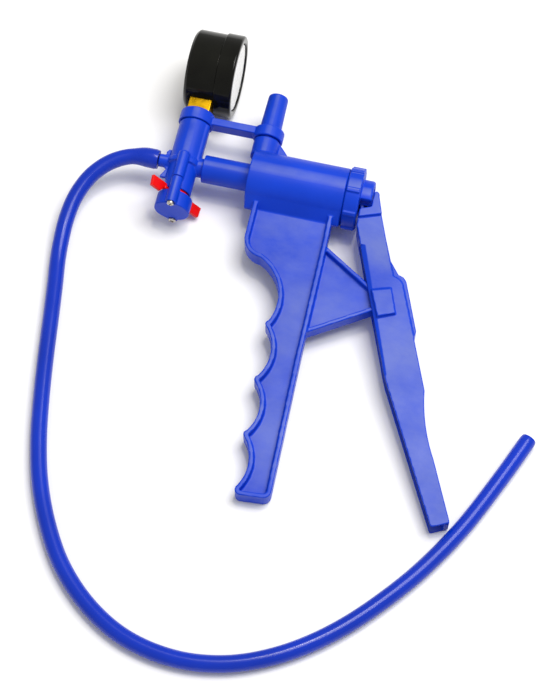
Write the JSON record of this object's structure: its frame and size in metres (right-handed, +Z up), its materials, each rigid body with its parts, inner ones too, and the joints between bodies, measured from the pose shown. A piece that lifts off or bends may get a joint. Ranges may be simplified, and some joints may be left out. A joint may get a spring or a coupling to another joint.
{
  "type": "hand vacuum pump",
  "caption": "Pistol-grip hand vacuum pump with a palm lever, dial gauge, release valve, exhaust nozzle and a loose hose, lying on its side.",
  "frame": {"origin": "on the table, under the middle of the pump's own box as it lies on its side, with the hose left out", "axes": "+Z up from the table, +Y from the foot of the grip to the gauge, +X along the barrel from the hose nipple to the palm lever"},
  "size_m": [0.253, 0.3295, 0.0426],
  "materials": {
    "blue_plastic": "satin moulded",
    "hose_vinyl": "glossy soft vinyl",
    "red_plastic": "moulded",
    "black_gloss": "glossy",
    "black_rubber": "matt",
    "dial_white": "matt white",
    "lens_clear": "clear",
    "brass": "turned and milled",
    "steel": "plated"
  },
  "bodies": {
    "pump": {"pump_body": "blue_plastic", "end_cap": "blue_plastic", "inlet_check_valve": "black_rubber", "exhaust_check_valve": "black_rubber", "exhaust_nozzle": "blue_plastic", "tie_strap": "blue_plastic", "manifold": "blue_plastic", "manifold_o_ring": "black_rubber", "valve_housing": "blue_plastic", "rotor_seal": "black_rubber", "housing_screw_upper": "steel", "housing_screw_lower": "steel", "return_spring": "steel", "pivot_pin": "steel", "vacuum_hose": "hose_vinyl", "gauge_case": "black_gloss", "gauge_bezel": "black_gloss", "gauge_lens": "lens_clear", "gauge_dial": "dial_white", "gauge_stem": "brass", "bourdon_tube": "brass", "gauge_movement": "brass"},
    "palm_lever": {"lever": "blue_plastic"},
    "piston_group": {"piston_rod": "blue_plastic", "piston": "blue_plastic", "piston_seal": "black_rubber", "piston_screw": "steel", "rod_pin": "steel"},
    "release_valve": {"valve_rotor": "red_plastic"},
    "pointer": {"gauge_pointer": "black_gloss"}
  },
  "joints": [
    {"name": "lever_hinge", "type": "hinge", "parent": "pump", "child": "palm_lever", "pos_m": [0.03755, -0.01012, 0.01307], "axis": [0, 0.0743, -0.9972], "range_deg": [0, 28.3], "stiffness_Nm_per_rad": 1.6, "springref_deg": -28.65},
    {"name": "rod_slide", "type": "slide", "parent": "pump", "child": "piston_group", "axis": [1, 0, 0], "range_m": [0, 0.0285], "deforming": ["return_spring"]},
    {"name": "valve_turn", "type": "hinge", "parent": "pump", "child": "release_valve", "pos_m": [-0.07615, 0.02678, 0.01582], "axis": [0, -0.9972, -0.0743], "range_deg": [0, 90]},
    {"name": "pointer_turn", "type": "hinge", "parent": "pump", "child": "pointer", "pos_m": [-0.06665, 0.10038, 0.0213], "axis": [-1, 0, 0], "range_deg": [0, 270], "stiffness_Nm_per_rad": 0.00002, "springref_deg": -28.65}
  ],
  "couplings": [
    {"joint": "rod_slide", "follows": "lever_hinge", "m_per_rad": 0.0572}
  ]
}
